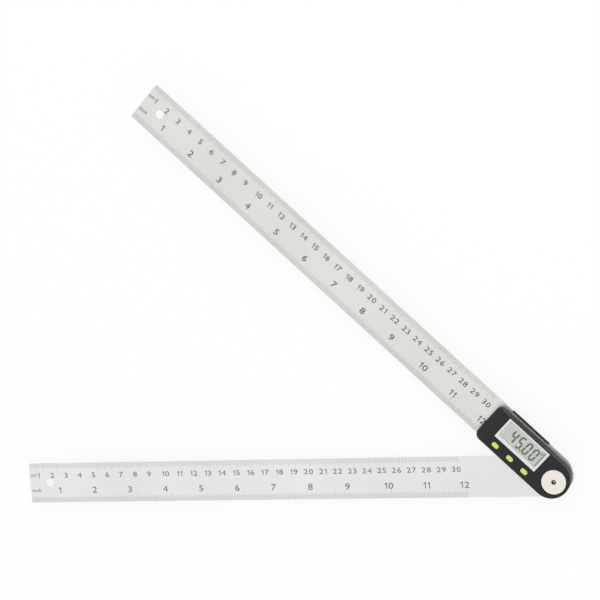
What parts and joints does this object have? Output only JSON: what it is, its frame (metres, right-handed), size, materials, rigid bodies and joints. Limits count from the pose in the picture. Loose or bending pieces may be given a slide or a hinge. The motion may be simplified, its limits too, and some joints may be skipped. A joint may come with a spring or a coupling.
{
  "type": "angle finder",
  "caption": "Digital angle finder: two ruler arms turning on one pivot, the upper one carrying a flat electronic head with display, push buttons and a rear lock knob.",
  "frame": {"origin": "pivot axis, on the rear face of the lock knob that the part rests on", "axes": "+Z along the pivot axis, from the lock knob to the display; the upper arm and the head run along -X from the pivot; +Y is the upper arm's centimetre edge"},
  "size_m": [0.3741, 0.2807, 0.0219],
  "materials": {
    "stainless_steel": "satin rolled stainless steel with etched graduations",
    "black_plastic": "moulded black ABS with a fine texture",
    "white_plastic": "moulded white plastic",
    "clear_window": "clear acrylic",
    "display_panel": "grey-green reflective display",
    "contact_rubber": "striped conductive rubber",
    "circuit_board": "green solder mask",
    "black_resin": "poured black resin",
    "spring_steel": "pressed spring steel",
    "cell_steel": "nickel-plated steel can",
    "spring_brass": "plated spring strip",
    "screw_steel": "zinc-plated steel",
    "bush_brass": "turned brass",
    "button_rubber": "yellow-green silicone rubber",
    "turned_steel": "turned steel",
    "washer_plastic": "natural acetal",
    "turned_cap": "turned and faced aluminium",
    "knob_plastic": "moulded black plastic, fluted"
  },
  "bodies": {
    "head_and_upper_arm": {"upper_blade": "stainless_steel", "front_cover": "black_plastic", "display_frame": "white_plastic", "display_window": "clear_window", "display_glass": "display_panel", "contact_rubbers": "contact_rubber", "main_board": "circuit_board", "board_chip": "black_resin", "switch_domes": "spring_steel", "rear_cover": "black_plastic", "coin_cell": "cell_steel", "contact_negative": "spring_brass", "contact_positive": "spring_brass", "case_screws": "screw_steel", "pivot_bush": "bush_brass"},
    "lower_arm": {"lower_blade": "stainless_steel", "pivot_hub": "turned_steel", "hub_screws": "screw_steel", "friction_washer": "washer_plastic", "sensor_rotor": "circuit_board", "pivot_cap": "turned_cap", "clamp_stud": "screw_steel", "thrust_washer": "turned_steel"},
    "lock_knob": {"lock_knob": "knob_plastic", "knob_insert": "bush_brass"},
    "battery_door": {"battery_door": "black_plastic"},
    "zero_button": {"button_zero": "button_rubber"},
    "hold_button": {"button_hold": "button_rubber"},
    "reverse_button": {"button_reverse": "button_rubber"}
  },
  "joints": [
    {"name": "arm_pivot", "type": "hinge", "parent": "head_and_upper_arm", "child": "lower_arm", "pos_m": [0, 0, 0.0127], "axis": [0, 0, 1], "continuous": true},
    {"name": "lock_knob_turn", "type": "hinge", "parent": "lower_arm", "child": "lock_knob", "pos_m": [0, 0, 0.003], "axis": [0, 0, 1], "range_deg": [0, 180]},
    {"name": "battery_door_slide", "type": "slide", "parent": "head_and_upper_arm", "child": "battery_door", "axis": [-1, 0, 0], "range_m": [0, 0.024]},
    {"name": "zero_press", "type": "slide", "parent": "head_and_upper_arm", "child": "zero_button", "axis": [0, 0, -1], "range_m": [0, 0.0005], "stiffness_N_per_m": 1500},
    {"name": "hold_press", "type": "slide", "parent": "head_and_upper_arm", "child": "hold_button", "axis": [0, 0, -1], "range_m": [0, 0.0005], "stiffness_N_per_m": 1500},
    {"name": "reverse_press", "type": "slide", "parent": "head_and_upper_arm", "child": "reverse_button", "axis": [0, 0, -1], "range_m": [0, 0.0005], "stiffness_N_per_m": 1500}
  ]
}
